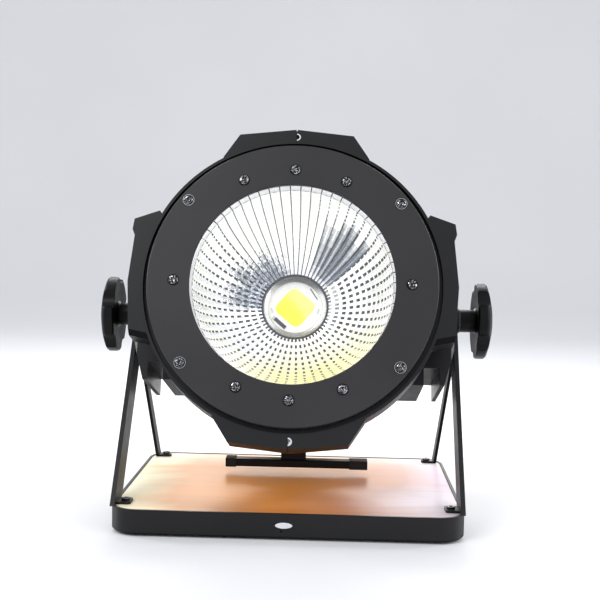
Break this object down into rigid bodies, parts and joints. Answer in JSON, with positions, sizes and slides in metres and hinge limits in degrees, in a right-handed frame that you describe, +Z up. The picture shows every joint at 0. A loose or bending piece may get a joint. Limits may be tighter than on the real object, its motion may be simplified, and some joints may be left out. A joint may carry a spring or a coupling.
{
  "type": "par can light",
  "caption": "Stage par light: tilting round head with a faceted reflector and one large LED, held by clamping knobs between flat-bar legs on a low weighted tray base.",
  "frame": {"origin": "on the floor, under the middle of the overall box", "axes": "+Z up, -Y towards the front where the light leaves, +X to the right seen from the front"},
  "size_m": [0.3728, 0.286, 0.3468],
  "materials": {
    "shell_black": "satin",
    "plate_black": "satin",
    "cover_black": "satin",
    "stand_black": "satin",
    "bar_black": "matte",
    "deck_brushed": "satin",
    "ballast_steel": "matte",
    "screw_steel": "polished",
    "reflector_mirror": "polished",
    "chrome_ring": "polished",
    "led_white": "satin",
    "led_yellow": "gloss",
    "glass_clear": "gloss",
    "plain_aluminium": "satin",
    "rubber_black": "matte",
    "knob_black": "satin",
    "plastic_black": "matte",
    "brass_insert": "satin",
    "board_green": "satin",
    "display_dark": "gloss",
    "button_grey": "satin",
    "socket_blue": "satin",
    "socket_white": "satin",
    "socket_black": "satin"
  },
  "bodies": {
    "stand": {"base_tray": "stand_black", "base_deck": "deck_brushed", "ballast_plate": "ballast_steel", "rubber_feet": "rubber_black", "front_leg_left": "stand_black", "front_leg_right": "stand_black", "rear_stay_left": "stand_black", "rear_stay_right": "stand_black", "leg_screws": "screw_steel", "friction_washers": "plastic_black", "rim_plug": "chrome_ring"},
    "head": {"left_shell": "shell_black", "right_shell": "shell_black", "front_plate": "plate_black", "plate_screws_small": "screw_steel", "plate_screws_large": "screw_steel", "seam_pins": "screw_steel", "pivot_inserts": "brass_insert", "glass_gasket": "rubber_black", "front_glass": "glass_clear", "reflector": "reflector_mirror", "led_ring": "chrome_ring", "led_board": "led_white", "led_emitter": "led_yellow", "bulkhead_plate": "plain_aluminium", "heat_sink": "plain_aluminium", "fan_frame": "plastic_black", "fan_screws": "screw_steel", "driver_bracket": "plain_aluminium", "driver_box": "plain_aluminium", "control_board": "board_green", "rear_cover": "cover_black", "cover_screws": "screw_steel", "control_panel": "plastic_black", "display_window": "display_dark", "power_in_socket": "socket_blue", "power_out_socket": "socket_white", "data_in_socket": "socket_black", "data_out_socket": "socket_black", "fuse_holder": "socket_black", "safety_eye": "stand_black", "foot_bar": "bar_black", "foot_bar_pads": "rubber_black", "foot_bar_neck": "bar_black"},
    "knob_left_turn": {"knob_left": "knob_black", "knob_stud_left": "screw_steel", "knob_washer_left": "screw_steel"},
    "knob_right_turn": {"knob_right": "knob_black", "knob_stud_right": "screw_steel", "knob_washer_right": "screw_steel"},
    "fan": {"fan_rotor": "plastic_black"},
    "menu_key": {"button_menu": "button_grey"},
    "down_key": {"button_down": "button_grey"},
    "up_key": {"button_up": "button_grey"},
    "enter_key": {"button_enter": "button_grey"}
  },
  "joints": [
    {"name": "head_tilt", "type": "hinge", "parent": "stand", "child": "head", "pos_m": [0, 0.01506, 0.174], "axis": [-1, 0, 0], "range_deg": [-21, 71.5]},
    {"name": "knob_left_spin", "type": "hinge", "parent": "head", "child": "knob_left_turn", "pos_m": [-0.17, 0.01506, 0.174], "axis": [-1, 0, 0], "continuous": true},
    {"name": "knob_right_spin", "type": "hinge", "parent": "head", "child": "knob_right_turn", "pos_m": [0.17, 0.01506, 0.174], "axis": [1, 0, 0], "continuous": true},
    {"name": "fan_spin", "type": "hinge", "parent": "head", "child": "fan", "pos_m": [0, 0.03403, 0.16765], "axis": [0, -0.9483, 0.3173], "continuous": true},
    {"name": "menu_press", "type": "slide", "parent": "head", "child": "menu_key", "axis": [0, -0.9483, 0.3173], "range_m": [0, 0.002], "stiffness_N_per_m": 400, "springref_m": -0.001},
    {"name": "down_press", "type": "slide", "parent": "head", "child": "down_key", "axis": [0, -0.9483, 0.3173], "range_m": [0, 0.002], "stiffness_N_per_m": 400, "springref_m": -0.001},
    {"name": "up_press", "type": "slide", "parent": "head", "child": "up_key", "axis": [0, -0.9483, 0.3173], "range_m": [0, 0.002], "stiffness_N_per_m": 400, "springref_m": -0.001},
    {"name": "enter_press", "type": "slide", "parent": "head", "child": "enter_key", "axis": [0, -0.9483, 0.3173], "range_m": [0, 0.002], "stiffness_N_per_m": 400, "springref_m": -0.001}
  ]
}
